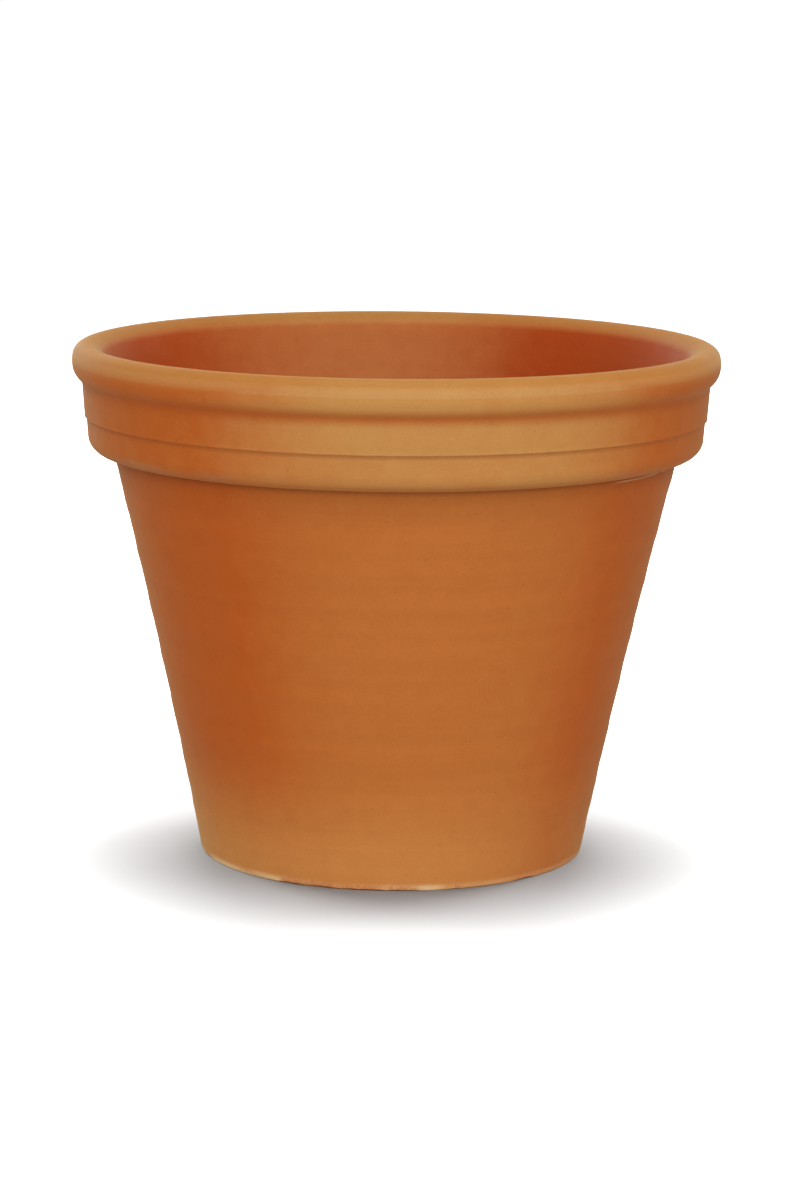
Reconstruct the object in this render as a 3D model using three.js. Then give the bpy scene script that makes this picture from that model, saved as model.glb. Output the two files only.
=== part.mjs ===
// A wide clay flower pot: one wall of fired terracotta, turned on a wheel.
// It has a rolled bead for a lip, a thick two-step collar under the bead, a wall that flares upwards,
// a flat foot ring with a shallow recess inside it, and a round drain hole through the floor.
// Millimetres, +Z up, origin at the centre of the ring that the pot stands on.
import * as THREE from 'three';

// Whole pot
const rimDiameter = 270;
const potHeight = 215;

// Bead: tangent arcs, from its highest line over its outer face to the cove under it.
// Angles are in degrees above (+) or below (-) the outward direction.
const beadInnerRadius = 8.6;
const beadCrownRadius = 5.2;
const beadFaceRadius = 15;
const beadFaceTopAngle = 10.5;
const beadFaceBottomAngle = -9;
const beadLowerRadius = 8.6;
const coveTopAngle = -49;
const coveRadius = 3.6;

// Collar: the upper band stands proud of the lower one, and both lean in towards the foot
const bandTaper = 4;
const stepHeight = 185;
const stepDepth = 0.8;
const stepEdge = 0.5;
const collarCornerRadius = 7;
const collarBottomHeight = 170;

// Outer wall and foot
const wallTopRadius = 118;
const wallFootRadius = 80.8;
const wallHollow = 1.2;
const footEdgeRadius = 1;
const footRingWidth = 12;
const recessDepth = 2;
const recessSlopeWidth = 6;

// Inside
const innerSlopeTop = 20;
const innerSlopeBottom = 12;
const floorThickness = 11;
const floorFlatRadius = 59;
const floorCornerRadius = 14;
const drainRadius = 13;
const drainEdgeRadius = 2;

// Fineness of the facets
const turnSegments = 64;
const arcStep = 20;
const outerWallSteps = 5;
const innerWallSteps = 6;

// Material
const terracottaColor = 0xb46a34;
const terracottaRoughness = 0.9;

const right = 90;
const straight = 180;

// A point of the outline: x is the radius, y is the height.
function point(radius, height) {
  return new THREE.Vector2(radius, height);
}

// The direction that makes an angle with the outward direction.
function direction(degrees) {
  const angle = THREE.MathUtils.degToRad(degrees);
  return point(Math.cos(angle), Math.sin(angle));
}

function shifted(start, distance, degrees) {
  return direction(degrees).multiplyScalar(distance).add(start);
}

// The points of an arc, both ends included.
function arc(centre, radius, startDegrees, endDegrees) {
  const steps = Math.ceil(Math.abs(endDegrees - startDegrees) / arcStep);
  const points = [];
  for (let step = 0; step <= steps; step += 1) {
    const degrees = startDegrees + (endDegrees - startDegrees) * step / steps;
    points.push(shifted(centre, radius, degrees));
  }
  return points;
}

// Where the line through one point along one direction meets a second such line.
function crossing(firstPoint, firstDegrees, secondPoint, secondDegrees) {
  const along = direction(firstDegrees);
  const across = direction(secondDegrees + right);
  const gap = secondPoint.clone().sub(firstPoint);
  return along.multiplyScalar(gap.dot(across) / along.dot(across)).add(firstPoint);
}

// The lip, from the foot of the bead's inner side over the top and down to the cove's lower end.
function beadPoints() {
  const faceCentre = point(rimDiameter / 2 - beadFaceRadius, 0);
  const crownCentre = shifted(faceCentre, beadFaceRadius - beadCrownRadius, beadFaceTopAngle);
  const lift = potHeight - beadCrownRadius - crownCentre.y;
  faceCentre.y += lift;
  crownCentre.y += lift;
  const innerCentre = point(crownCentre.x, potHeight - beadInnerRadius);
  const lowerCentre = shifted(faceCentre, beadFaceRadius - beadLowerRadius, beadFaceBottomAngle);
  const coveCentre = shifted(lowerCentre, beadLowerRadius + coveRadius, coveTopAngle);
  return {
    inner: arc(innerCentre, beadInnerRadius, right, straight - innerSlopeTop),
    outer: [
      ...arc(coveCentre, coveRadius, straight - bandTaper, straight + coveTopAngle),
      ...arc(lowerCentre, beadLowerRadius, coveTopAngle, beadFaceBottomAngle).slice(1),
      ...arc(faceCentre, beadFaceRadius, beadFaceBottomAngle, 0).slice(1),
      ...arc(faceCentre, beadFaceRadius, 0, beadFaceTopAngle).slice(1),
      ...arc(crownCentre, beadCrownRadius, beadFaceTopAngle, right).slice(1, -1),
    ],
  };
}

// The collar from its underside up to the cove, whose lower end is given.
function collarPoints(coveEnd) {
  const lean = Math.tan(THREE.MathUtils.degToRad(bandTaper));
  const upperRadius = coveEnd.x - (coveEnd.y - stepHeight) * lean;
  const lowerRadius = upperRadius - stepDepth;
  const cornerTop = collarBottomHeight + collarCornerRadius;
  const cornerRadius = lowerRadius - (stepHeight - cornerTop) * lean;
  const cornerCentre = point(cornerRadius - collarCornerRadius, cornerTop);
  return [
    ...arc(cornerCentre, collarCornerRadius, -right, -bandTaper),
    point(lowerRadius, stepHeight),
    point(upperRadius - stepEdge, stepHeight),
    point(upperRadius, stepHeight + stepEdge),
  ];
}

// The outer wall from the rounded edge of the foot up to the crease under the collar.
function outerWallPoints() {
  const bottom = point(wallFootRadius, 0);
  const top = point(wallTopRadius, collarBottomHeight);
  const middle = bottom.clone().add(top).multiplyScalar(1 / 2);
  middle.x -= 2 * wallHollow;
  const rise = middle.clone().sub(bottom);
  const lean = THREE.MathUtils.radToDeg(Math.atan2(rise.x, rise.y));
  const edgeTop = shifted(point(0, footEdgeRadius), footEdgeRadius, -lean);
  const edgeTopRadius = wallFootRadius + edgeTop.y * rise.x / rise.y;
  const edgeCentre = point(edgeTopRadius - edgeTop.x, footEdgeRadius);
  const wall = new THREE.QuadraticBezierCurve(point(edgeTopRadius, edgeTop.y), middle, top);
  return [
    ...arc(edgeCentre, footEdgeRadius, -right, -lean),
    ...wall.getPoints(outerWallSteps).slice(1),
  ];
}

// The planting space from the bead's inner side down to the drain hole.
function innerWallPoints(beadEnd) {
  const floorHeight = recessDepth + floorThickness;
  const cornerCentre = point(floorFlatRadius, floorHeight + floorCornerRadius);
  const corner = arc(cornerCentre, floorCornerRadius, -innerSlopeBottom, -right);
  const topDegrees = right - innerSlopeTop;
  const bottomDegrees = right - innerSlopeBottom;
  const middle = crossing(beadEnd, topDegrees, corner[0], bottomDegrees);
  const wall = new THREE.QuadraticBezierCurve(beadEnd, middle, corner[0]);
  return [
    ...wall.getPoints(innerWallSteps).slice(1),
    ...corner.slice(1),
  ];
}

// The drain hole downwards, and the underside out to the foot ring's inner edge.
function undersidePoints(footFlatRadius) {
  const floorHeight = recessDepth + floorThickness;
  const edgeRadius = drainRadius + drainEdgeRadius;
  const topCentre = point(edgeRadius, floorHeight - drainEdgeRadius);
  const bottomCentre = point(edgeRadius, recessDepth + drainEdgeRadius);
  const ringRadius = footFlatRadius - footRingWidth;
  return [
    ...arc(topCentre, drainEdgeRadius, right, straight),
    ...arc(bottomCentre, drainEdgeRadius, straight, straight + right),
    point(ringRadius - recessSlopeWidth, recessDepth),
    point(ringRadius, 0),
  ];
}

// The closed outline, up the outside, over the bead, down the inside and out along the underside.
function potOutline() {
  const bead = beadPoints();
  const outerWall = outerWallPoints();
  const outline = [
    ...outerWall,
    ...collarPoints(bead.outer[0]),
    ...bead.outer,
    ...bead.inner,
    ...innerWallPoints(bead.inner.at(-1)),
    ...undersidePoints(outerWall[0].x),
  ];
  outline.push(outline[0].clone());
  return outline;
}

const terracotta = new THREE.MeshStandardMaterial({
  color: terracottaColor,
  roughness: terracottaRoughness,
  metalness: 0,
});

const pot = new THREE.Mesh(new THREE.LatheGeometry(potOutline(), turnSegments), terracotta);
pot.name = 'pot';
pot.rotation.x = Math.PI / 2;

const plantPot = new THREE.Group();
plantPot.add(pot);

export default plantPot;
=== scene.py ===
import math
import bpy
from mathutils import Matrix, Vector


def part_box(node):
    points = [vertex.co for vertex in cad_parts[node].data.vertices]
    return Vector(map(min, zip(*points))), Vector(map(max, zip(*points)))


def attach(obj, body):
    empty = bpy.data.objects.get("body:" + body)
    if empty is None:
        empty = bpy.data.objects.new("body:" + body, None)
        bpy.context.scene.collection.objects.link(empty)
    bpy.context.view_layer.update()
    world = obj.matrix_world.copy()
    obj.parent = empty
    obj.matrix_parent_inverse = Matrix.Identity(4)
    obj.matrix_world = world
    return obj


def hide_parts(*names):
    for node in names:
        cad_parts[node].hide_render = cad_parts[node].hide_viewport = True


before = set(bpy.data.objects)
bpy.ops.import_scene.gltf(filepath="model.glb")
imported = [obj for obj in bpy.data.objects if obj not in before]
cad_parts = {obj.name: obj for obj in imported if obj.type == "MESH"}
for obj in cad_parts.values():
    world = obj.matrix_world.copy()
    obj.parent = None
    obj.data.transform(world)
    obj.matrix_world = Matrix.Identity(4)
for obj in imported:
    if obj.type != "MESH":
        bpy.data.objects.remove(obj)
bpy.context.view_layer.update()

# A wide terracotta flower pot: one turned wall of fired clay with a bead for a lip, a two-step
# collar, a flaring wall, a foot ring and a drain hole. Metres, +Z up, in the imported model's frame.
# Angles are in degrees unless a comment says otherwise.
from types import SimpleNamespace

import bpy
import numpy as np
from mathutils import Matrix, Vector

MM = 0.001

pot_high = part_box("pot")[1]
RIM_RADIUS = pot_high.x
POT_HEIGHT = pot_high.z

# Bead: tangent arcs, with angles above (+) or below (-) the outward direction
BEAD_INNER_RADIUS = 8.6 * MM
BEAD_CROWN_RADIUS = 5.2 * MM
BEAD_FACE_RADIUS = 15 * MM
BEAD_FACE_TOP = 10.5
BEAD_FACE_BOTTOM = -9
BEAD_LOWER_RADIUS = 8.6 * MM
COVE_TOP = -49
COVE_RADIUS = 3.6 * MM

# Collar: two bands that taper downwards, and a step with a burr between them
BAND_TAPER = 4
STEP_HEIGHT = 185 * MM
STEP_DEPTH = 0.8 * MM
STEP_FOOT_DROP = 0.3 * MM
STEP_BURR_RADIUS = 0.45 * MM
STEP_BURR_PROUD = 0.12 * MM
STEP_BURR_END = 20
COLLAR_CORNER_RADIUS = 7 * MM
COLLAR_BOTTOM = 170 * MM

# Crease where the wall meets the collar's underside, cut inwards and upwards
CREASE_DEPTH = 0.5 * MM
CREASE_WIDTH = 1 * MM
CREASE_DIRECTION = 135

# Outer wall and foot
WALL_TOP_RADIUS = 118 * MM
WALL_FOOT_RADIUS = 80.8 * MM
WALL_HOLLOW = 1.2 * MM
FOOT_EDGE_RADIUS = 1 * MM
FOOT_RING_WIDTH = 12 * MM
RECESS_DEPTH = 2 * MM
RECESS_SLOPE_WIDTH = 6 * MM

# Inside: the wall's slope off the vertical at the mouth and at the floor
INNER_SLOPE_TOP = 20
INNER_SLOPE_BOTTOM = 12
FLOOR_HEIGHT = 13 * MM
FLOOR_FLAT_RADIUS = 59 * MM
FLOOR_CORNER_RADIUS = 14 * MM
DRAIN_RADIUS = 13 * MM
DRAIN_EDGE_RADIUS = 2 * MM

# Mesh: with the outline's 216 points, this many steps round the axis make 193,536 triangles
TURN_SEGMENTS = 448
# Points of the outline that lie closer than this are one
SAME_PLACE = 0.01 * MM


# ---- Outline of the turned wall: points are (radius, height) ----

def direction(degrees):
    angle = math.radians(degrees)
    return np.array((math.cos(angle), math.sin(angle)))


def arc(centre, radius, start, end, steps):
    return [centre + radius * direction(start + (end - start) * k / steps) for k in range(steps + 1)]


def line(start, end, steps):
    start, end = np.array(start), np.array(end)
    return [start + (end - start) * k / steps for k in range(steps + 1)]


def bent_line(start, middle, end, steps):
    """A quadratic curve that leaves start towards middle and arrives at end from middle."""
    shares = [k / steps for k in range(steps + 1)]
    return [(1 - t) ** 2 * start + 2 * t * (1 - t) * middle + t ** 2 * end for t in shares]


def crossing(first, first_degrees, second, second_degrees):
    """Where the line through one point meets a line through another."""
    along = direction(first_degrees)
    across = direction(second_degrees + 90)
    return first + along * np.dot(second - first, across) / np.dot(along, across)


def bead_stretches():
    face = np.array((RIM_RADIUS - BEAD_FACE_RADIUS, 0.0))
    crown = face + (BEAD_FACE_RADIUS - BEAD_CROWN_RADIUS) * direction(BEAD_FACE_TOP)
    lift = np.array((0.0, POT_HEIGHT - BEAD_CROWN_RADIUS - crown[1]))
    face, crown = face + lift, crown + lift
    inner = np.array((crown[0], POT_HEIGHT - BEAD_INNER_RADIUS))
    lower = face + (BEAD_FACE_RADIUS - BEAD_LOWER_RADIUS) * direction(BEAD_FACE_BOTTOM)
    cove = lower + (BEAD_LOWER_RADIUS + COVE_RADIUS) * direction(COVE_TOP)
    return [
        ("cove", arc(cove, COVE_RADIUS, 180 - BAND_TAPER, 180 + COVE_TOP, steps=6)),
        ("bead", arc(lower, BEAD_LOWER_RADIUS, COVE_TOP, BEAD_FACE_BOTTOM, steps=7)),
        ("bead", arc(face, BEAD_FACE_RADIUS, BEAD_FACE_BOTTOM, BEAD_FACE_TOP, steps=6)),
        ("bead", arc(crown, BEAD_CROWN_RADIUS, BEAD_FACE_TOP, 90, steps=9)),
        ("bead", arc(inner, BEAD_INNER_RADIUS, 90, 180 - INNER_SLOPE_TOP, steps=9)),
    ]


def collar_stretches(cove_end):
    taper = math.tan(math.radians(BAND_TAPER))
    upper = cove_end[0] - (cove_end[1] - STEP_HEIGHT) * taper
    burr = np.array((upper - STEP_BURR_RADIUS + STEP_BURR_PROUD, STEP_HEIGHT + STEP_BURR_RADIUS))
    burr_top = np.array((upper + 2 * STEP_BURR_RADIUS * taper, STEP_HEIGHT + 3 * STEP_BURR_RADIUS))
    lower = upper - STEP_DEPTH
    corner_top = COLLAR_BOTTOM + COLLAR_CORNER_RADIUS
    band_foot = np.array((lower - (STEP_HEIGHT - corner_top) * taper, corner_top))
    corner = band_foot - (COLLAR_CORNER_RADIUS, 0)
    ledge_start = (WALL_TOP_RADIUS + CREASE_WIDTH, COLLAR_BOTTOM)
    step_foot = (lower, STEP_HEIGHT - STEP_FOOT_DROP)
    return [
        ("ledge", line(ledge_start, corner - (0, COLLAR_CORNER_RADIUS), steps=2)),
        ("corner", arc(corner, COLLAR_CORNER_RADIUS, -90, -BAND_TAPER, steps=9)),
        ("lower_band", line(band_foot, step_foot, steps=5)),
        ("step", line(step_foot, burr - (0, STEP_BURR_RADIUS), steps=2)),
        ("step", arc(burr, STEP_BURR_RADIUS, -90, STEP_BURR_END, steps=4)),
        ("upper_band", line(burr_top, cove_end, steps=7)),
    ]


def wall_stretches():
    bottom = np.array((WALL_FOOT_RADIUS, 0.0))
    top = np.array((WALL_TOP_RADIUS, COLLAR_BOTTOM))
    middle = (bottom + top) / 2 - (2 * WALL_HOLLOW, 0)
    rise = middle - bottom
    flare = math.degrees(math.atan2(rise[0], rise[1]))
    edge_top = FOOT_EDGE_RADIUS * (1 + direction(-flare)[1])
    wall_start = np.array((WALL_FOOT_RADIUS + edge_top * rise[0] / rise[1], edge_top))
    edge = np.array((wall_start[0] - FOOT_EDGE_RADIUS * direction(-flare)[0], FOOT_EDGE_RADIUS))
    wall = bent_line(wall_start, middle, top, steps=71)[:-1]
    crease_foot = top - CREASE_WIDTH * (top - middle) / np.linalg.norm(top - middle)
    crease_end = top + (CREASE_WIDTH, 0)
    crease_floor = top + CREASE_DEPTH * direction(CREASE_DIRECTION)
    return edge[0], [
        ("foot_edge", arc(edge, FOOT_EDGE_RADIUS, -90, -flare, steps=9)),
        ("wall", wall),
        ("crease", [crease_foot, crease_floor, crease_end]),
    ]


def inside_stretches(bead_end):
    corner = np.array((FLOOR_FLAT_RADIUS, FLOOR_HEIGHT + FLOOR_CORNER_RADIUS))
    corner_arc = arc(corner, FLOOR_CORNER_RADIUS, -INNER_SLOPE_BOTTOM, -90, steps=7)
    middle = crossing(bead_end, 90 - INNER_SLOPE_TOP, corner_arc[0], 90 - INNER_SLOPE_BOTTOM)
    edge_radius = DRAIN_RADIUS + DRAIN_EDGE_RADIUS
    hole_top = np.array((edge_radius, FLOOR_HEIGHT - DRAIN_EDGE_RADIUS))
    hole_bottom = np.array((edge_radius, RECESS_DEPTH + DRAIN_EDGE_RADIUS))
    return [
        ("inner_wall", bent_line(bead_end, middle, corner_arc[0], steps=30)),
        ("floor", corner_arc),
        ("floor", line(corner_arc[-1], (edge_radius, FLOOR_HEIGHT), steps=7)),
        ("drain", arc(hole_top, DRAIN_EDGE_RADIUS, 90, 180, steps=4)),
        ("drain", arc(hole_bottom, DRAIN_EDGE_RADIUS, 180, 270, steps=4)),
    ]


def underside_stretches(ring_outer):
    ring_inner = ring_outer - FOOT_RING_WIDTH
    recess_edge = (ring_inner - RECESS_SLOPE_WIDTH, RECESS_DEPTH)
    recess_centre = (DRAIN_RADIUS + DRAIN_EDGE_RADIUS, RECESS_DEPTH)
    return [
        ("recess", line(recess_centre, recess_edge, steps=5)),
        ("recess", line(recess_edge, (ring_inner, 0), steps=3)),
        ("ring", line((ring_inner, 0), (ring_outer, 0), steps=5)),
    ]


def pot_outline():
    """The closed outline, up the outside, over the bead, down the inside and out underneath."""
    ring_outer, wall = wall_stretches()
    bead = bead_stretches()
    stretches = wall + collar_stretches(bead[0][1][0]) + bead
    stretches += inside_stretches(bead[-1][1][-1]) + underside_stretches(ring_outer)
    points, zones = [], []
    for zone, stretch in stretches:
        for place in stretch:
            if not points or np.linalg.norm(place - points[-1]) > SAME_PLACE:
                points.append(place)
                zones.append(zone)
    if np.linalg.norm(points[0] - points[-1]) < SAME_PLACE:
        points.pop()
        zones.pop()
    return np.array(points), np.array(zones)


# ---- Marks that turning, drying and use leave in the clay ----

# Sideways shift towards +X for each unit of height
LEAN = 0.0026

# Out of round: waves round the pot, depth and phase in radians, fading in up to a height
OUT_OF_ROUND = ((2, 0.22 * MM, -0.6), (3, 0.10 * MM, 1.1))
OUT_OF_ROUND_RISE = 60 * MM

# Turning rings: spacing along the wall, depth, phase in radians, and waves round the pot
TURNING_RINGS = (
    (23 * MM, 0.10 * MM, 0.4, 1),
    (11 * MM, 0.05 * MM, 2.1, 2),
    (6.5 * MM, 0.03 * MM, 4.0, -1),
)
# Heights between which the rings fade in above the foot, and out under the collar
RINGS_FADE_IN = (4 * MM, 14 * MM)
RINGS_FADE_OUT = (168 * MM, 160 * MM)
INNER_RINGS_SHARE = 1.6

# The azimuth of the pot's front, from +X
FRONT = -90
# Flakes lost from the foot's edge: some all round, and more in worn stretches, each given by its
# azimuth from the front (positive towards +X), half width and number of flakes
FLAKE_SEED = 7
FLAKES_ALL_ROUND = 26
WORN_STRETCHES = ((-23, 9, 13), (-7, 6, 9), (95, 12, 10), (170, 15, 14), (-110, 8, 8))
# The least and most that a flake measures, in millimetres
FLAKE_HALF_WIDTH = (1.2, 5.0)
FLAKE_HEIGHT = (1.0, 2.6)
FLAKE_DEPTH = (0.12, 0.45)
# A flake is at full depth inside these shares of its half width and height
FLAKE_FLAT_ACROSS = 0.45
FLAKE_FLAT_UP = 0.5
# Distance under the foot counts this much, so a flake reaches further there than up the wall
FLAKE_UNDER_SHARE = 0.5
FULLY_WORN = 0.3 * MM

# Dents in the outer side of the bead: azimuth from +X in radians, then height, half width, half
# height and depth in millimetres
BEAD_NICKS = (
    (-2.06, 207.5, 1.3, 0.8, 0.35),
    (-1.58, 204.0, 5.0, 0.5, 0.16),
    (0.7, 209.5, 2.2, 1.2, 0.3),
    (2.4, 206.0, 1.6, 1.0, 0.35),
)
BEAD_OUTER_SIDE = RIM_RADIUS - 8 * MM

# Heights on the bead's inner side between which the inside's colour fades in downwards
INSIDE_FADE = (213.5 * MM, 209 * MM)


def smooth_step(low, high, value):
    share = np.clip((value - low) / (high - low), 0, 1)
    return share * share * (3 - 2 * share)


def ring_fade(points, zones):
    """The strength of the turning rings at each point of the outline."""
    on_wall = smooth_step(*RINGS_FADE_IN, points[:, 1]) * smooth_step(*RINGS_FADE_OUT, points[:, 1])
    return np.where(zones == "wall", on_wall, 0) + np.where(zones == "inner_wall", INNER_RINGS_SHARE, 0)


def turning_rings(azimuth, points, zones):
    """Shallow rings left by the turning tool, which drift along the wall in a spiral."""
    steps = np.linalg.norm(np.diff(points, axis=0, prepend=points[:1]), axis=1)
    along = np.cumsum(steps)[:, None]
    relief = np.zeros((len(points), len(azimuth)))
    for spacing, depth, phase, waves in TURNING_RINGS:
        relief += depth * np.sin(math.tau * along / spacing + phase + waves * azimuth)
    return relief * ring_fade(points, zones)[:, None]


def out_of_round(azimuth):
    return sum(depth * np.cos(waves * azimuth + phase) for waves, depth, phase in OUT_OF_ROUND)


def angle_gap(azimuth, centre):
    return (azimuth - centre + math.pi) % math.tau - math.pi


def foot_chips(azimuth, points, zones):
    """Small flakes lost from the foot's edge, as a depth at every vertex."""
    random = np.random.default_rng(FLAKE_SEED)
    near_edge = np.isin(zones, ("foot_edge", "wall", "ring"))
    height = points[:, 1]
    inwards = np.minimum(0, points[:, 0] - WALL_FOOT_RADIUS + FOOT_EDGE_RADIUS)
    from_edge = np.hypot(height, inwards * FLAKE_UNDER_SHARE)
    depth = np.zeros((len(points), len(azimuth)))
    places = list(random.uniform(-180, 180, FLAKES_ALL_ROUND))
    for centre, half_width, count in WORN_STRETCHES:
        places += list(centre + random.uniform(-half_width, half_width, count))
    for place in places:
        half_width = random.uniform(*FLAKE_HALF_WIDTH) * MM / WALL_FOOT_RADIUS
        tall = random.uniform(*FLAKE_HEIGHT) * MM
        deep = random.uniform(*FLAKE_DEPTH) * MM
        across = np.abs(angle_gap(azimuth, math.radians(place + FRONT))) / half_width
        flat_across = smooth_step(1.0, FLAKE_FLAT_ACROSS, across)[None, :]
        flat_up = smooth_step(1.0, FLAKE_FLAT_UP, from_edge / tall)[:, None]
        depth = np.maximum(depth, deep * (flat_across * flat_up) * near_edge[:, None])
    return depth


def bead_nicks(azimuth, points, zones):
    """Dents in the outer side of the bead, as a depth at every vertex."""
    on_face = (zones == "bead") & (points[:, 0] > BEAD_OUTER_SIDE)
    depth = np.zeros((len(points), len(azimuth)))
    for centre, height, half_width, half_height, deep in BEAD_NICKS:
        across = angle_gap(azimuth, centre) * RIM_RADIUS / (half_width * MM)
        up = (points[:, 1] - height * MM) / (half_height * MM)
        shape = np.exp(-(across[None, :] ** 2 + up[:, None] ** 2))
        depth += deep * MM * shape * on_face[:, None]
    return depth


# ---- The pot's mesh ----

def outline_normals(points):
    """Outward unit normals of the closed outline."""
    tangent = np.roll(points, -1, axis=0) - np.roll(points, 1, axis=0)
    tangent /= np.linalg.norm(tangent, axis=1)[:, None]
    return np.stack((tangent[:, 1], -tangent[:, 0]), axis=1)


def turned_places(azimuth, points, relief):
    """The outline with its relief, turned about the axis, slightly out of round and leaning."""
    normals = outline_normals(points)
    radius = points[:, 0, None] + normals[:, 0, None] * relief
    height = points[:, 1, None] + normals[:, 1, None] * relief
    rise = smooth_step(0, OUT_OF_ROUND_RISE, points[:, 1])[:, None]
    radius = radius + out_of_round(azimuth)[None, :] * rise
    places = (radius * np.cos(azimuth) + LEAN * height, radius * np.sin(azimuth), height)
    return np.stack(places, axis=2).reshape(-1, 3)


def turned_faces(rows, columns):
    """Quads between neighbouring points of the outline and neighbouring azimuths."""
    row = np.arange(rows)[:, None]
    column = np.arange(columns)[None, :]
    next_row, next_column = (row + 1) % rows, (column + 1) % columns
    corners = (
        row * columns + column,
        row * columns + next_column,
        next_row * columns + next_column,
        next_row * columns + column,
    )
    return np.stack(corners, axis=2).reshape(-1, 4)


def add_masks(mesh, points, zones, chips):
    """Values at the vertices that tell the material what is worn, inside or underneath."""
    inner_bead = (zones == "bead") & (points[:, 0] < RIM_RADIUS - BEAD_CROWN_RADIUS)
    inside = np.isin(zones, ("inner_wall", "floor", "drain")).astype(float)
    inside += inner_bead * smooth_step(*INSIDE_FADE, points[:, 1])
    under = np.isin(zones, ("recess", "ring")).astype(float)
    masks = {
        "worn": np.clip(chips / FULLY_WORN, 0, 1),
        "inside": np.repeat(inside, TURN_SEGMENTS),
        "under": np.repeat(under, TURN_SEGMENTS),
    }
    for name, values in masks.items():
        mask = mesh.attributes.new(name, "FLOAT", "POINT")
        mask.data.foreach_set("value", values.astype(np.float32).ravel())


def pot_mesh():
    points, zones = pot_outline()
    azimuth = np.arange(TURN_SEGMENTS) * math.tau / TURN_SEGMENTS - math.pi
    chips = foot_chips(azimuth, points, zones)
    dents = chips + bead_nicks(azimuth, points, zones)
    relief = turning_rings(azimuth, points, zones) - dents
    places = turned_places(azimuth, points, relief)
    faces = turned_faces(len(points), TURN_SEGMENTS)
    mesh = bpy.data.meshes.new("terracotta_pot")
    mesh.from_pydata(places.tolist(), [], faces.tolist())
    mesh.polygons.foreach_set("use_smooth", np.ones(len(faces), bool))
    add_masks(mesh, points, zones, chips)
    mesh.update()
    return mesh


# ---- Node trees ----

class Nodes:
    """A short way to build a node tree."""

    def __init__(self, tree):
        self.tree = tree

    def add(self, kind, settings=None, **inputs):
        node = self.tree.nodes.new(kind)
        for name, value in (settings or {}).items():
            setattr(node, name, value)
        for name, value in inputs.items():
            self.put(node.inputs[name.replace("_", " ")], value)
        return node

    def put(self, socket, value):
        if isinstance(value, bpy.types.NodeSocket):
            self.tree.links.new(value, socket)
        else:
            socket.default_value = value

    def math(self, operation, *values):
        node = self.tree.nodes.new("ShaderNodeMath")
        node.operation = operation
        for socket, value in zip(node.inputs, values):
            self.put(socket, value)
        return node.outputs[0]

    def product(self, first, *others):
        for value in others:
            first = self.math("MULTIPLY", first, value)
        return first

    def mix(self, share, first, second):
        node = self.tree.nodes.new("ShaderNodeMix")
        node.data_type = "RGBA"
        self.put(node.inputs["Factor"], share)
        self.put(node.inputs[6], first)
        self.put(node.inputs[7], second)
        return node.outputs[2]

    def ramp(self, value, stops):
        """A soft change. Its stops are where it starts and ends, then what it gives at each."""
        node = self.tree.nodes.new("ShaderNodeMapRange")
        node.interpolation_type = "SMOOTHSTEP"
        for name, number in zip(("From Min", "From Max", "To Min", "To Max"), stops):
            node.inputs[name].default_value = number
        self.put(node.inputs["Value"], value)
        return node.outputs[0]

    def band(self, value, low, high, soft):
        """1 between two values and 0 outside them, with soft ends."""
        rise = self.ramp(value, (low - soft, low + soft, 0, 1))
        fall = self.ramp(value, (high - soft, high + soft, 1, 0))
        return self.math("MULTIPLY", rise, fall)

    def noise(self, place, scale, detail, roughness=0.5):
        node = self.add("ShaderNodeTexNoise", Scale=scale, Detail=detail, Roughness=roughness)
        self.put(node.inputs["Vector"], place)
        return node.outputs["Fac"]

    def centred(self, value, reach):
        """A value of 0 to 1 turned into one around 0."""
        return self.math("MULTIPLY", self.math("SUBTRACT", value, 0.5), reach)

    def scaled(self, color, share):
        node = self.add("ShaderNodeVectorMath", {"operation": "SCALE"})
        self.put(node.inputs[0], color)
        self.put(node.inputs["Scale"], share)
        return node.outputs[0]

    def stretched(self, place, scale):
        node = self.add("ShaderNodeMapping", Scale=scale)
        self.put(node.inputs["Vector"], place)
        return node.outputs["Vector"]


# ---- Terracotta: its colours ----

# Clay where it has no salt bloom, and in the middle of the bloom, which is paler and yellower.
# Each pair is also painted shade and painted light: the paler colour is given most where the pot
# faces the lamps, and on the opposite side as well
BODY_SHADED_AND_LIT_COLORS = ((0.412, 0.083, 0.0102, 1), (0.425, 0.129, 0.0255, 1))
COLLAR_SHADED_AND_LIT_COLORS = ((0.405, 0.091, 0.0125, 1), (0.440, 0.207, 0.058, 1))
INSIDE_SHADED_AND_LIT_COLORS = ((0.360, 0.052, 0.0075, 1), (0.436, 0.141, 0.040, 1))
# Painted shade for the cove, the step and the collar's lower corner, without and with bloom
GROOVE_SHADE_COLORS = ((0.375, 0.075, 0.010, 1), (0.385, 0.100, 0.019, 1))
# Painted highlight for the bead's crown
BEAD_HIGHLIGHT_COLOR = (0.475, 0.265, 0.100, 1)
TOP_COLOR = (0.340, 0.145, 0.030, 1)
# Paler clay near the foot: bloom, a painted reflection of the floor, and painted light from the left
FOOT_BLOOM_AND_LIGHT_COLOR = (0.490, 0.188, 0.046, 1)
BARE_COLOR = (0.50, 0.17, 0.055, 1)
LIME_COLOR = (0.66, 0.47, 0.25, 1)
DUST_COLOR = (0.36, 0.17, 0.075, 1)
# Painted shade for the crease under the collar
CREASE_SHADE_COLOR = (0.16, 0.045, 0.012, 1)
# The two tones of the mottled underside
UNDER_COLORS = ((0.36, 0.095, 0.024, 1), (0.43, 0.155, 0.048, 1))

# Azimuths from the front, positive towards +X
PAINTED_LIGHT_AZIMUTH = 9
SLIVER_AZIMUTH = 63
PAINTED_LIGHT_FOOT_AZIMUTH = -35
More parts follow.
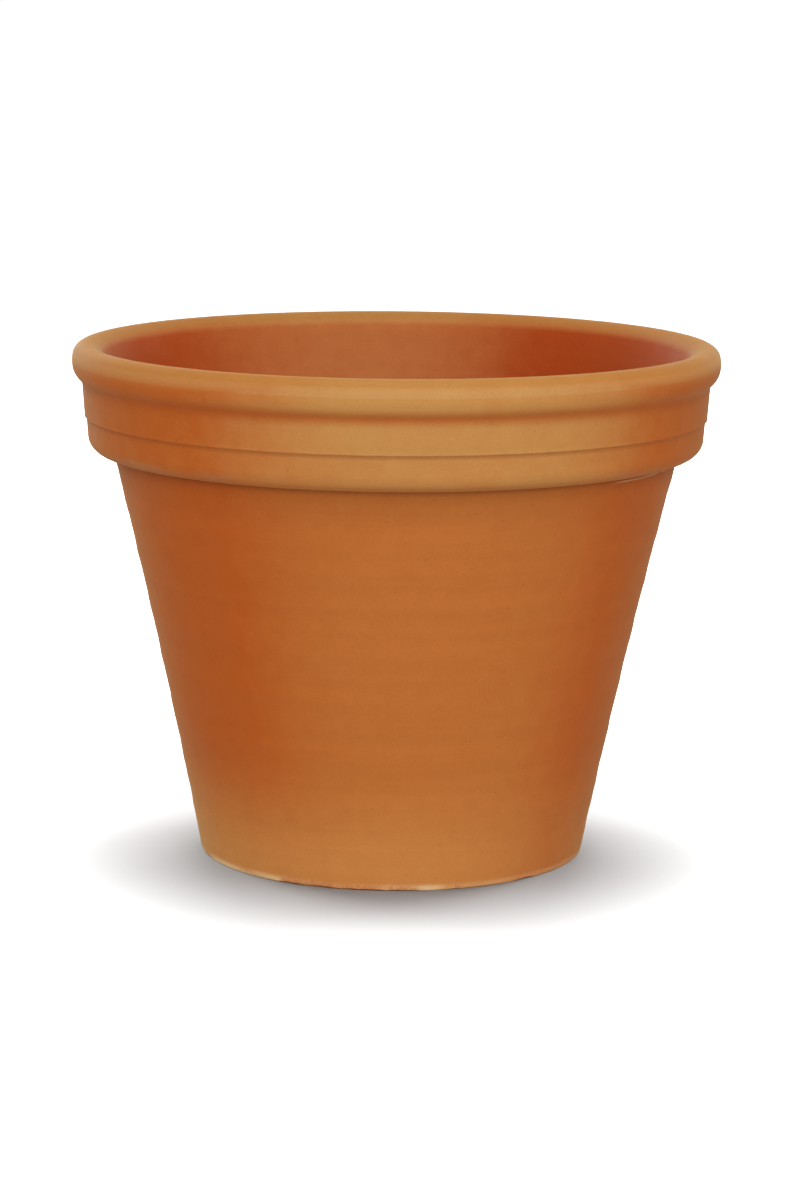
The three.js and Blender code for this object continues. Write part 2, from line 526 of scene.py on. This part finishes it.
# Stretches of the foot's edge that are rubbed pale, as azimuth and half width
RUBBED_STRETCHES = ((-50, 14), (5, 5), (140, 12))
RUBBED_FADE = 9

# Noises: scale, detail and, where it isn't the usual one, roughness
PATCH_NOISE = (16, 3)
MOTTLE_NOISE = (130, 4, 0.6)
RAGGED_NOISE = (30, 4, 0.6)
SLIVER_NOISE = (90, 3)
FLECK_NOISE = (700, 2)
# Scales along X, Y and Z that draw a noise out sideways
RAGGED_STRETCH = (1, 1, 3)
SLIVER_STRETCH = (1, 1, 6)
# How far a noise moves the share of bloom and painted light
PATCH_REACH = 0.5
MOTTLE_REACH = 0.35

# Down to this section's first function, a tuple of four is a ramp's stops, and one of three is a
# band's low, high and soft.
# Bloom and painted light, by how squarely a place faces the painted light's azimuth or the opposite one
BLOOM_AND_PAINTED_LIGHT_STOPS = (0.66, 1.0, 0, 1)
INNER_BLOOM_AND_PAINTED_LIGHT_STOPS = (0.69, 1.09, 0, 1)

# Wall, paler towards the foot, with bloom and a painted reflection of the floor, and on one side, with
# painted light from the left
PALE_FOOT_HEIGHTS = (58 * MM, 0, 0, 1)
PAINTED_LIGHT_FOOT_SIDE = (0, 0.9, 0.4, 1)

# Collar and bead, by height
ON_COLLAR = (COLLAR_BOTTOM - 0.3 * MM, COLLAR_BOTTOM + 0.8 * MM, 0, 1)
LOWER_BAND_BLOOM_AND_LIGHT = (STEP_HEIGHT + 1 * MM, STEP_HEIGHT - 3 * MM, 1, 0.86)
# The bead's upper side is paler, from bloom and a painted highlight, and its crown gets a further
# painted highlight
BEAD_BLOOM_AND_HIGHLIGHT = (205 * MM, 212 * MM, 0, 0.62)
CROWN_HIGHLIGHT_LOW = (207.5 * MM, 208.4 * MM, 0, 1)
CROWN_HIGHLIGHT_HIGH = (210 * MM, 213 * MM, 1, 0)
CROWN_HIGHLIGHT_SHARE = 0.42
TOP_STOPS = (211 * MM, 213 * MM, 0, 0.4)
# Painted shade, darker and redder, in the cove, along the step and on the collar's lower corner
COVE_SHADE_BAND = (197.4 * MM, 201.8 * MM, 2.2 * MM)
STEP_SHADE_BAND = (STEP_HEIGHT - 1.6 * MM, STEP_HEIGHT + 0.1 * MM, 0.5 * MM)
STEP_SHADE_SHARE = 0.35
CORNER_SHADE_STOPS = (173.5 * MM, 171 * MM, 0, 0.6)
GROOVE_SHADE_LEAST = 0.7
GROOVE_SHADE_RAGGED_SHARE = 0.4

# Dust on the collar's lower corner, in ragged patches where there is little bloom or painted light
DUST_BAND = (171 * MM, 174.5 * MM, 1.5 * MM)
DUST_RAGGED = (0.38, 0.62, 0, 0.3)
DUST_OFF_BLOOM_AND_LIGHT = (0.7, 0.1, 0, 1)

# Painted shade in the crease, and slivers of lime just under it
CREASE_SHADE_BAND = (168.8 * MM, 170.2 * MM, 0.4 * MM)
CREASE_SHADE_SHARE = 0.15
SLIVER_BAND = (167.7 * MM, 168.2 * MM, 0.25 * MM)
SLIVER_SIDE = (0.955, 0.985, 0, 1)
SLIVER_STOPS = (0.46, 0.54, 0, 0.55)

# Foot's edge
RUBBED_HEIGHTS = (3.4 * MM, 1.2 * MM, 0, 1)
RUBBED_RAGGED = (0.34, 0.56, 0.25, 0.75)
RUBBED_LEAST = 0.3
FLECK_STOPS = (0.54, 0.64, 0, 0.45)

# Inside, the bloom and the painted light on the far wall reach down from the mouth, and the bottom is
# a little paler again
MOUTH_HEIGHTS = (70 * MM, 165 * MM, 0, 1)
BOTTOM_HEIGHTS = (110 * MM, 20 * MM, 0, 0.45)

# Underneath
UNDER_RAGGED = (0.35, 0.65, 0, 1)
ON_RING = (0.5 * MM, 0.1 * MM, 0, 0.45)
RING_MOTTLE = (-0.06, 0.06, 0.3, 1)


def facing(nodes, split, azimuth):
    """The cosine of the angle between the wall's azimuth and a given one."""
    turn = math.radians(azimuth)
    across = nodes.math("MULTIPLY", split.outputs["X"], math.sin(turn))
    along = nodes.math("MULTIPLY", split.outputs["Y"], -math.cos(turn))
    x_squared = nodes.math("POWER", split.outputs["X"], 2)
    y_squared = nodes.math("POWER", split.outputs["Y"], 2)
    radius = nodes.math("SQRT", nodes.math("ADD", x_squared, y_squared))
    return nodes.math("DIVIDE", nodes.math("ADD", across, along), radius)


def clay_variation(nodes, place):
    """What varies over the pot: the height, the bloom with painted light where the pot faces the lamps
    and on the opposite side, and the noises that break up the edges.
    """
    split = nodes.add("ShaderNodeSeparateXYZ", Vector=place)
    painted_light_facing = nodes.math("ABSOLUTE", facing(nodes, split, PAINTED_LIGHT_AZIMUTH))
    patches = nodes.centred(nodes.noise(place, *PATCH_NOISE), PATCH_REACH)
    mottle = nodes.centred(nodes.noise(place, *MOTTLE_NOISE), MOTTLE_REACH)
    uneven = nodes.math("ADD", patches, mottle)
    return SimpleNamespace(
        place=place,
        split=split,
        height=split.outputs["Z"],
        mottle=mottle,
        ragged=nodes.noise(nodes.stretched(place, RAGGED_STRETCH), *RAGGED_NOISE),
        bloom_and_painted_light=nodes.math("ADD", nodes.ramp(painted_light_facing, BLOOM_AND_PAINTED_LIGHT_STOPS), uneven),
        inner_bloom_and_painted_light=nodes.math("ADD", nodes.ramp(painted_light_facing, INNER_BLOOM_AND_PAINTED_LIGHT_STOPS), uneven),
    )


def body_color(nodes, clay):
    """The flaring wall: paler where it faces the lamps, with painted light; paler towards the foot,
    with bloom and a painted reflection of the floor; and paler on the left near the foot, with painted
    light.
    """
    paler = nodes.ramp(clay.height, PALE_FOOT_HEIGHTS)
    painted_light_side = nodes.ramp(facing(nodes, clay.split, PAINTED_LIGHT_FOOT_AZIMUTH), PAINTED_LIGHT_FOOT_SIDE)
    paler = nodes.product(paler, painted_light_side, nodes.math("ADD", clay.mottle, 1))
    return nodes.mix(paler, nodes.mix(clay.bloom_and_painted_light, *BODY_SHADED_AND_LIT_COLORS), FOOT_BLOOM_AND_LIGHT_COLOR)


def collar_color(nodes, clay):
    """The collar and the bead: palest on the bead's crown, a painted highlight, and red in the cove,
    along the step and on the collar's lower corner, painted shade.
    """
    height = clay.height
    band_bloom_and_painted_light = nodes.product(clay.bloom_and_painted_light, nodes.ramp(height, LOWER_BAND_BLOOM_AND_LIGHT))
    bloom_and_painted_light = nodes.math("MAXIMUM", band_bloom_and_painted_light, nodes.ramp(height, BEAD_BLOOM_AND_HIGHLIGHT))
    collar = nodes.mix(bloom_and_painted_light, *COLLAR_SHADED_AND_LIT_COLORS)
    # Painted highlight on the bead's crown
    crown = nodes.product(nodes.ramp(height, CROWN_HIGHLIGHT_LOW), nodes.ramp(height, CROWN_HIGHLIGHT_HIGH), bloom_and_painted_light)
    collar = nodes.mix(nodes.product(crown, CROWN_HIGHLIGHT_SHARE), collar, BEAD_HIGHLIGHT_COLOR)
    collar = nodes.mix(nodes.ramp(height, TOP_STOPS), collar, TOP_COLOR)
    # Painted shade in the cove, along the step and on the collar's lower corner
    cove = nodes.band(height, *COVE_SHADE_BAND)
    step = nodes.product(nodes.band(height, *STEP_SHADE_BAND), STEP_SHADE_SHARE)
    groove_shade = nodes.math("MAXIMUM", cove, step)
    groove_shade = nodes.math("MAXIMUM", groove_shade, nodes.ramp(height, CORNER_SHADE_STOPS))
    strength = nodes.math("ADD", nodes.product(clay.ragged, GROOVE_SHADE_RAGGED_SHARE), GROOVE_SHADE_LEAST)
    return nodes.mix(nodes.product(groove_shade, strength), collar, nodes.mix(bloom_and_painted_light, *GROOVE_SHADE_COLORS))


def with_dust_and_lime(nodes, clay, color):
    """Dust on the collar's lower corner, painted shade in the crease, and slivers of lime under it."""
    dust = nodes.product(nodes.band(clay.height, *DUST_BAND), nodes.ramp(clay.ragged, DUST_RAGGED))
    dust = nodes.product(dust, nodes.ramp(clay.bloom_and_painted_light, DUST_OFF_BLOOM_AND_LIGHT))
    color = nodes.mix(dust, color, DUST_COLOR)
    # Painted shade in the crease
    crease_shade = nodes.product(nodes.band(clay.height, *CREASE_SHADE_BAND), CREASE_SHADE_SHARE)
    color = nodes.mix(crease_shade, color, CREASE_SHADE_COLOR)
    side = nodes.ramp(facing(nodes, clay.split, SLIVER_AZIMUTH), SLIVER_SIDE)
    slivers = nodes.noise(nodes.stretched(clay.place, SLIVER_STRETCH), *SLIVER_NOISE)
    lime = nodes.product(nodes.band(clay.height, *SLIVER_BAND), nodes.ramp(slivers, SLIVER_STOPS))
    return nodes.mix(nodes.product(lime, side), color, LIME_COLOR)


def with_worn_foot(nodes, clay, color, worn):
    """The foot's edge: rubbed pale in stretches, and bare red clay where flakes are gone."""
    side = RUBBED_LEAST
    for azimuth, half_width in RUBBED_STRETCHES:
        fade = [math.cos(math.radians(angle)) for angle in (half_width + RUBBED_FADE, half_width)]
        stretch = nodes.ramp(facing(nodes, clay.split, azimuth), (*fade, 0, 1))
        side = nodes.math("MAXIMUM", side, stretch)
    near_edge = nodes.ramp(clay.height, RUBBED_HEIGHTS)
    rubbed = nodes.product(near_edge, nodes.ramp(clay.ragged, RUBBED_RAGGED), side)
    color = nodes.mix(rubbed, color, LIME_COLOR)
    flecks = nodes.ramp(nodes.noise(clay.place, *FLECK_NOISE), FLECK_STOPS)
    return nodes.mix(worn, color, nodes.mix(flecks, BARE_COLOR, LIME_COLOR))


# The inside: bloom, and painted light on the far wall where it faces the lamps, fading down from the
# mouth
def inside_color(nodes, clay):
    bloom_and_painted_light = nodes.product(clay.inner_bloom_and_painted_light, nodes.ramp(clay.height, MOUTH_HEIGHTS))
    bloom_and_painted_light = nodes.math("ADD", bloom_and_painted_light, nodes.ramp(clay.height, BOTTOM_HEIGHTS))
    return nodes.mix(bloom_and_painted_light, *INSIDE_SHADED_AND_LIT_COLORS)


def under_color(nodes, clay):
    """The underside, where the level ring that the pot stands on is rubbed pale in patches."""
    under = nodes.mix(nodes.ramp(clay.ragged, UNDER_RAGGED), *UNDER_COLORS)
    on_ring = nodes.product(nodes.ramp(clay.height, ON_RING), nodes.ramp(clay.mottle, RING_MOTTLE))
    return nodes.mix(on_ring, under, LIME_COLOR)


def clay_color(nodes, clay, masks):
    """The clay's colour from its zones, its bloom, its painted light and shade, and what is worn off or
    stuck on it.
    """
    on_collar = nodes.ramp(clay.height, ON_COLLAR)
    color = nodes.mix(on_collar, body_color(nodes, clay), collar_color(nodes, clay))
    color = with_dust_and_lime(nodes, clay, color)
    color = with_worn_foot(nodes, clay, color, masks["worn"])
    color = nodes.mix(masks["inside"], color, inside_color(nodes, clay))
    return nodes.mix(masks["under"], color, under_color(nodes, clay))


# ---- Terracotta: its surface ----

GRAIN_NOISE = (1100, 2)
FINE_NOISE = (420, 3)
SPECK_NOISE = (520, 1)
STREAK_NOISE = (1, 3)
STREAK_STRETCH = (4, 4, 260)
ROUGHNESS_NOISE = (60, 3)

# How much each makes the colour lighter or darker
GRAIN_TONE = 0.16
STREAK_TONE = 0.10
MOTTLE_TONE = 0.25
PALE_SPECKS = (0.74, 0.80, 0, 0.12)
DARK_SPECKS = (0.26, 0.20, 0, 0.15)

BUMP_STRENGTH = 0.3
BUMP_DISTANCE = 0.12 * MM
ROUGHNESS = 0.74
ROUGHNESS_REACH = 0.25
CLAY_FINISH = {
    "Diffuse Roughness": 0.5,
    "Specular IOR Level": 0.25,
    "Specular Tint": (1, 0.7, 0.4, 1),
    "Sheen Weight": 0.09,
    "Sheen Roughness": 0.4,
    "Sheen Tint": (0.95, 1, 0.35, 1),
}


def clay_tone(nodes, clay, grain):
    """Grain, sparse pale and dark specks, and the faint streaks that the turning leaves."""
    streaks = nodes.noise(nodes.stretched(clay.place, STREAK_STRETCH), *STREAK_NOISE)
    tone = nodes.math("ADD", nodes.centred(grain, GRAIN_TONE), nodes.centred(streaks, STREAK_TONE))
    tone = nodes.math("ADD", tone, nodes.product(clay.mottle, MOTTLE_TONE))
    specks = nodes.noise(clay.place, *SPECK_NOISE)
    tone = nodes.math("ADD", tone, nodes.ramp(specks, PALE_SPECKS))
    tone = nodes.math("SUBTRACT", tone, nodes.ramp(specks, DARK_SPECKS))
    return nodes.math("ADD", tone, 1)


def terracotta():
    material = bpy.data.materials.new("terracotta")
    material.use_nodes = True
    tree = material.node_tree
    tree.nodes.clear()
    nodes = Nodes(tree)
    place = nodes.add("ShaderNodeTexCoord").outputs["Object"]
    masks = {
        name: nodes.add("ShaderNodeAttribute", {"attribute_name": name}).outputs["Fac"]
        for name in ("inside", "under", "worn")
    }
    clay = clay_variation(nodes, place)
    grain = nodes.noise(place, *GRAIN_NOISE)
    color = nodes.scaled(clay_color(nodes, clay, masks), clay_tone(nodes, clay, grain))
    fine = nodes.noise(place, *FINE_NOISE)
    bump = nodes.add("ShaderNodeBump", Strength=BUMP_STRENGTH, Distance=BUMP_DISTANCE)
    nodes.put(bump.inputs["Height"], nodes.math("ADD", grain, fine))
    rougher = nodes.centred(nodes.noise(place, *ROUGHNESS_NOISE), ROUGHNESS_REACH)

    shader = nodes.add("ShaderNodeBsdfPrincipled")
    nodes.put(shader.inputs["Base Color"], color)
    nodes.put(shader.inputs["Roughness"], nodes.math("ADD", rougher, ROUGHNESS))
    nodes.put(shader.inputs["Normal"], bump.outputs["Normal"])
    for name, value in CLAY_FINISH.items():
        nodes.put(shader.inputs[name], value)
    output = nodes.add("ShaderNodeOutputMaterial")
    tree.links.new(shader.outputs[0], output.inputs["Surface"])
    return material


# ---- Stage, light and camera ----

# The floor's half width, its grey level under the drain hole, a painted shade, and elsewhere, the
# distances between which the one gives way to the other, and those between which its painted glow
# fades in, which leaves painted shade round the pot
FLOOR_REACH = 60.0
FLOOR_SHADES = (0.03, 0.3)
HOLE_SHADE_PATCH = (40 * MM, 70 * MM, 0, 1)
PAINTED_GLOW_STOPS = (82 * MM, 310 * MM, 0, 1)
WHITE = (1, 1, 1, 1)

# Lamps: name, azimuth from the camera's side (positive towards +X), elevation, distance from
# the place that they aim at, size and power
LAMP_AIM = Vector((0, 0, 110 * MM))
POT_LAMPS = (
    ("front_low", 0, 12, 2.0, (1.0, 1.0), 18),
    ("front_high", 0, 60, 2.0, (1.0, 1.0), 14),
    ("front_left", -20, 35, 2.0, (1.0, 1.0), 13),
    ("front_right", 45, 30, 2.0, (1.0, 1.0), 11),
    ("back_left", -150, 16, 2.0, (1.4, 1.0), 22),
    ("back_right", 155, 16, 2.0, (1.4, 1.0), 13),
    ("above", 0, 86, 1.6, (0.5, 0.5), 2.5),
)
FLOOR_LAMPS = (
    ("overhead", 0, 88, 1.8, (1.4, 1.4), 138),
    ("floor_back", 180, 50, 2.0, (1.4, 1.0), 60),
    ("floor_left", -130, 20, 1.8, (0.8, 1.2), 56),
    ("floor_right", 130, 20, 1.8, (0.8, 1.2), 59),
)

# The world's strength as the camera sees it, and as light from below and from above, with the
# rise of the direction at which the one ends and the other starts
WORLD_SEEN = 1.0
FILL_STOPS = (-0.3, 0.1, 0.6, 0.03)

CAMERA_DISTANCE = 1.586
CAMERA_PITCH = 10.17
CAMERA_ROLL = 0.5
CAMERA_LENS = 112.6
CAMERA_SENSOR = 36
CAMERA_AIM = Vector((2.85, 0, 105.75)) * MM


def studio_floor():
    """A white sweep: lamps shade it softly around the pot, and a painted glow makes it white away from
    it, so the glow's fade also paints shade round the pot.
    """
    mesh = bpy.data.meshes.new("floor")
    corners = [(FLOOR_REACH * x, FLOOR_REACH * y, 0) for x, y in ((-1, -1), (1, -1), (1, 1), (-1, 1))]
    mesh.from_pydata(corners, [], [(0, 1, 2, 3)])
    floor = bpy.data.objects.new("floor", mesh)
    bpy.context.scene.collection.objects.link(floor)
    material = bpy.data.materials.new("floor_white")
    material.use_nodes = True
    nodes = Nodes(material.node_tree)
    place = nodes.add("ShaderNodeTexCoord").outputs["Object"]
    distance = nodes.add("ShaderNodeVectorMath", {"operation": "LENGTH"})
    nodes.put(distance.inputs[0], place)
    # The strong lamps reach the floor through the drain hole, so the patch under it is darkened with
    # painted shade
    away_from_hole = nodes.ramp(distance.outputs["Value"], HOLE_SHADE_PATCH)
    shades = [(shade, shade, shade, 1) for shade in FLOOR_SHADES]
    shader = material.node_tree.nodes["Principled BSDF"]
    nodes.put(shader.inputs["Base Color"], nodes.mix(away_from_hole, *shades))
    nodes.put(shader.inputs["Roughness"], 1)
    nodes.put(shader.inputs["Specular IOR Level"], 0)
    nodes.put(shader.inputs["Emission Color"], WHITE)
    nodes.put(shader.inputs["Emission Strength"], nodes.ramp(distance.outputs["Value"], PAINTED_GLOW_STOPS))
    mesh.materials.append(material)
    floor.visible_diffuse = False
    floor.visible_glossy = False
    floor.visible_shadow = False
    return floor


def softbox(name, azimuth, elevation, distance, size, power, lit):
    """A rectangular lamp aimed at the pot, which lights only the objects of one collection."""
    data = bpy.data.lights.new(name, "AREA")
    data.shape = "RECTANGLE"
    data.size, data.size_y = size
    data.energy = power
    lamp = bpy.data.objects.new(name, data)
    side, rise = math.radians(azimuth), math.radians(elevation)
    away = Vector((math.sin(side) * math.cos(rise), -math.cos(side) * math.cos(rise), math.sin(rise)))
    lamp.location = LAMP_AIM + away * distance
    lamp.rotation_euler = (-away).to_track_quat("-Z", "Y").to_euler()
    lamp.light_linking.receiver_collection = lit
    bpy.context.scene.collection.objects.link(lamp)


def light_only(name, obj, lamps):
    """Lamps that light one object and nothing else."""
    lit = bpy.data.collections.new(name)
    lit.objects.link(obj)
    for lamp in lamps:
        softbox(*lamp, lit)


def studio_world():
    """A world that looks white, and fills the shade more from below than from above."""
    world = bpy.data.worlds.new("studio")
    world.use_nodes = True
    nodes = Nodes(world.node_tree)
    ray_direction = nodes.add("ShaderNodeTexCoord").outputs["Generated"]
    rise = nodes.add("ShaderNodeSeparateXYZ", Vector=ray_direction).outputs["Z"]
    strength = nodes.add("ShaderNodeMix", {"data_type": "FLOAT"})
    nodes.put(strength.inputs["Factor"], nodes.add("ShaderNodeLightPath").outputs["Is Camera Ray"])
    nodes.put(strength.inputs["A"], nodes.ramp(rise, FILL_STOPS))
    nodes.put(strength.inputs["B"], WORLD_SEEN)
    background = world.node_tree.nodes["Background"]
    nodes.put(background.inputs["Color"], WHITE)
    nodes.put(background.inputs["Strength"], strength.outputs["Result"])
    bpy.context.scene.world = world


def camera():
    data = bpy.data.cameras.new("camera")
    data.sensor_width = CAMERA_SENSOR
    data.lens = CAMERA_LENS
    pitch = math.radians(CAMERA_PITCH)
    obj = bpy.data.objects.new("camera", data)
    back = Vector((0, -math.cos(pitch), math.sin(pitch)))
    turn = Matrix.Rotation(math.pi / 2 - pitch, 4, "X")
    turn = turn @ Matrix.Rotation(math.radians(CAMERA_ROLL), 4, "Z")
    obj.matrix_world = Matrix.Translation(CAMERA_AIM + back * CAMERA_DISTANCE) @ turn
    bpy.context.scene.collection.objects.link(obj)
    bpy.context.scene.camera = obj


pot = bpy.data.objects.new("terracotta_pot", pot_mesh())
bpy.context.scene.collection.objects.link(pot)
pot.data.materials.append(terracotta())
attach(pot, "root")
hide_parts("pot")

floor = studio_floor()
studio_world()
light_only("lit_pot", pot, POT_LAMPS)
light_only("lit_floor", floor, FLOOR_LAMPS)
camera()
bpy.context.scene.view_settings.view_transform = "Standard"
